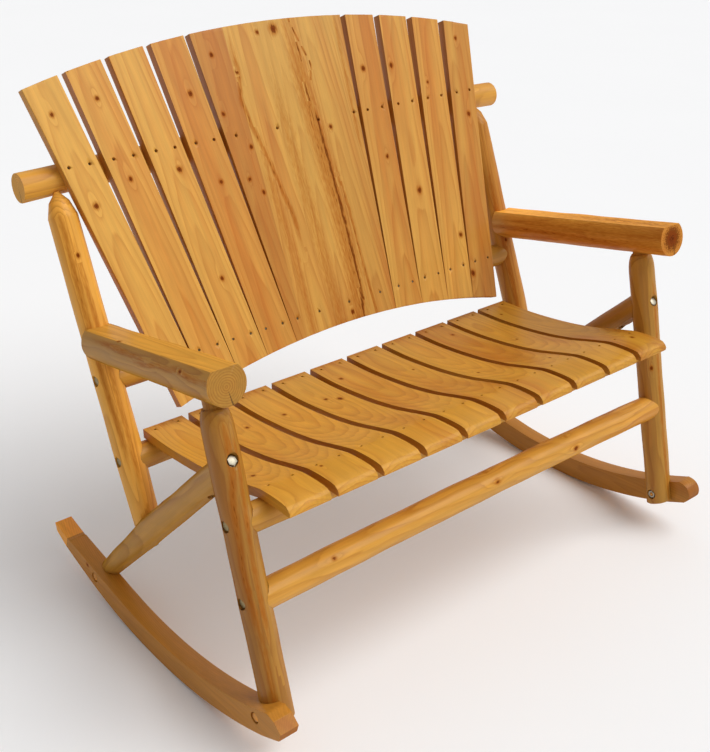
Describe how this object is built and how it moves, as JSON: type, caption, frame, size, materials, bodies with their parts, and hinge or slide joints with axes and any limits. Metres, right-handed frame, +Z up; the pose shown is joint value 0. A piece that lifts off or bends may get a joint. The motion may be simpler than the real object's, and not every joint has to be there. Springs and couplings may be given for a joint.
{
  "type": "rocking bench",
  "caption": "Log-style rocking bench for a porch: round-log frame, fan back of flat boards, contoured slat seat, planed log armrests and curved plank rockers.",
  "frame": {"origin": "on the floor, at the middle of the box that bounds the bench: mid width and mid depth", "axes": "+X to the right as seen from the front, along the seat; +Y to the rear, so the sitter faces -Y; +Z up"},
  "size_m": [1.16, 0.7924, 1.0577],
  "materials": {
    "log_wood": "amber satin varnish over peeled knotty logs",
    "rocker_wood": "amber satin varnish over sawn planks",
    "slat_wood": "amber satin varnish over knotty boards",
    "zinc": "bright zinc plate"
  },
  "bodies": {
    "root": {"rocker_right": "rocker_wood", "rocker_left": "rocker_wood", "front_post_right": "log_wood", "front_post_left": "log_wood", "diagonal_brace_right": "log_wood", "diagonal_brace_left": "log_wood", "rear_post_right": "log_wood", "rear_post_left": "log_wood", "armrest_right": "log_wood", "armrest_left": "log_wood", "top_back_rail": "log_wood", "lower_back_rail": "log_wood", "rear_seat_rail": "log_wood", "front_seat_rail": "log_wood", "front_stretcher": "log_wood", "back_centre_panel": "slat_wood", "back_slat_right_1": "slat_wood", "back_slat_left_1": "slat_wood", "back_slat_right_2": "slat_wood", "back_slat_left_2": "slat_wood", "back_slat_right_3": "slat_wood", "back_slat_left_3": "slat_wood", "back_slat_right_4": "slat_wood", "back_slat_left_4": "slat_wood", "seat_slat_1": "slat_wood", "seat_slat_2": "slat_wood", "seat_slat_3": "slat_wood", "seat_slat_4": "slat_wood", "seat_slat_5": "slat_wood", "seat_slat_6": "slat_wood", "seat_slat_7": "slat_wood", "seat_slat_8": "slat_wood", "seat_slat_9": "slat_wood", "seat_slat_10": "slat_wood", "lower_rail_bolt_right": "zinc", "lower_rail_bolt_left": "zinc", "rear_rail_bolt_right": "zinc", "rear_rail_bolt_left": "zinc", "front_rail_bolt_right": "zinc", "front_rail_bolt_left": "zinc", "stretcher_bolt_right": "zinc", "stretcher_bolt_left": "zinc", "brace_foot_bolt_right": "zinc", "brace_foot_bolt_left": "zinc", "post_foot_bolt_right": "zinc", "post_foot_bolt_left": "zinc", "rear_foot_bolt_right": "zinc", "rear_foot_bolt_left": "zinc", "arm_bolt_right": "zinc", "arm_bolt_left": "zinc", "brace_top_bolt_right": "zinc", "brace_top_bolt_left": "zinc", "brace_foot_nut_right": "zinc", "brace_foot_nut_left": "zinc", "post_foot_nut_right": "zinc", "post_foot_nut_left": "zinc", "brace_top_nut_right": "zinc", "brace_top_nut_left": "zinc"}
  },
  "joints": []
}
